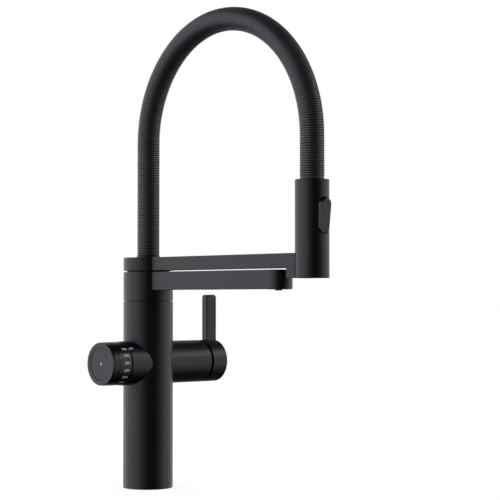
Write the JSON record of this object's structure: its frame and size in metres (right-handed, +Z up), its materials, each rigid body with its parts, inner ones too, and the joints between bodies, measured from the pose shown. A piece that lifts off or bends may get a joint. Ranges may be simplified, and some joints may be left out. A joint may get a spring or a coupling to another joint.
{
  "type": "kitchen tap",
  "caption": "Kitchen mixer tap with a magnetically docked pull-off spray on an arched hose, and a separate swivel arm for filtered water with a number dial.",
  "frame": {"origin": "centre of the column's foot, on the worktop", "axes": "+Z up; both arms and the hand spray reach towards -Y, the mixing lever is on +X and the dial on -X"},
  "size_m": [0.1491, 0.2776, 0.4688],
  "materials": {
    "satin_black": "satin",
    "brass": "machined",
    "steel": "machined",
    "rubber": "matt",
    "hose_black": "satin",
    "inner_plastic": "matt",
    "dark_plastic": "satin",
    "ceramic": "polished",
    "lens": "translucent"
  },
  "bodies": {
    "stand": {"column_shell": "satin_black", "base_seal": "rubber", "base_plate": "brass", "inner_pipes": "brass", "valve_body": "brass", "swivel_spigot": "brass", "spigot_seals": "rubber", "slide_rings": "dark_plastic", "retaining_nut": "brass", "mixer_barrel": "satin_black", "cartridge_housing": "brass", "cartridge_body": "inner_plastic", "fixed_disc": "ceramic", "cartridge_nut": "dark_plastic", "dial_barrel": "satin_black", "indicator_light": "lens", "encoder_housing": "dark_plastic", "encoder_board": "inner_plastic", "journal_plate": "inner_plastic", "dial_clip": "steel"},
    "lever_turner": {"lever_carrier": "inner_plastic", "tilt_pin": "steel"},
    "disc": {"moving_disc": "ceramic"},
    "lever": {"lever_stem": "steel", "lever_cap": "satin_black", "lever_bar": "satin_black", "lever_grub_screw": "steel", "lever_plug": "dark_plastic"},
    "dial": {"dial_ring": "satin_black", "dial_hub": "inner_plastic"},
    "face": {"dial_face": "satin_black", "face_light": "lens", "face_spring": "steel"},
    "spout": {"spout_arm": "satin_black", "spout_cover": "dark_plastic", "spout_tube": "inner_plastic", "outlet_insert": "dark_plastic", "outlet_nozzle": "dark_plastic"},
    "holder": {"holder_arm": "satin_black", "holder_cover": "dark_plastic", "dock_block": "satin_black", "dock_magnet": "steel", "dock_screws": "steel", "hose_ferrule": "satin_black", "hose_sleeve": "hose_black", "hose_sleeve_end": "hose_black", "water_hose": "rubber", "water_hose_end": "rubber"},
    "spray": {"hose_collar": "satin_black", "spray_shell": "satin_black", "hose_connector": "brass", "check_valve": "inner_plastic", "diverter_body": "inner_plastic", "rocker_pin": "steel", "spray_face": "dark_plastic", "spray_nozzles": "rubber", "aerator": "dark_plastic", "magnet_keeper": "steel"},
    "spool": {"diverter_spool": "inner_plastic"},
    "rocker": {"spray_button": "dark_plastic"}
  },
  "joints": [
    {"name": "spout_swivel", "type": "hinge", "parent": "stand", "child": "spout", "pos_m": [0, 0, 0.2], "axis": [0, 0, 1], "range_deg": [-70, 70]},
    {"name": "holder_swivel", "type": "hinge", "parent": "stand", "child": "holder", "pos_m": [0, 0, 0.224], "axis": [0, 0, 1], "range_deg": [-70, 70]},
    {"name": "spray_undock", "type": "slide", "parent": "holder", "child": "spray", "axis": [0, -1, 0], "range_m": [0, 0.025], "deforming": ["hose_sleeve_end", "water_hose_end"]},
    {"name": "rocker_tip", "type": "hinge", "parent": "spray", "child": "rocker", "pos_m": [0, -0.243, 0.2638], "axis": [1, 0, 0], "range_deg": [-12, 0]},
    {"name": "spool_shift", "type": "slide", "parent": "spray", "child": "spool", "axis": [0, 1, 0], "range_m": [0, 0.0022]},
    {"name": "dial_turn", "type": "hinge", "parent": "stand", "child": "dial", "pos_m": [-0.05, 0, 0.125], "axis": [-1, 0, 0], "continuous": true},
    {"name": "face_press", "type": "slide", "parent": "dial", "child": "face", "axis": [1, 0, 0], "range_m": [0, 0.001], "stiffness_N_per_m": 800, "springref_m": -0.002, "deforming": ["face_spring"]},
    {"name": "lever_turn", "type": "hinge", "parent": "stand", "child": "lever_turner", "pos_m": [0.042, 0, 0.125], "axis": [1, 0, 0], "range_deg": [-45, 45]},
    {"name": "lever_tilt", "type": "hinge", "parent": "lever_turner", "child": "lever", "pos_m": [0.042, 0, 0.125], "axis": [0, 1, 0], "range_deg": [0, 20]},
    {"name": "disc_slide", "type": "slide", "parent": "lever_turner", "child": "disc", "axis": [0, 0, 1], "range_m": [0, 0.0024]}
  ],
  "couplings": [
    {"joint": "spool_shift", "follows": "rocker_tip", "m_per_rad": -0.01},
    {"joint": "disc_slide", "follows": "lever_tilt", "m_per_rad": 0.0065}
  ]
}
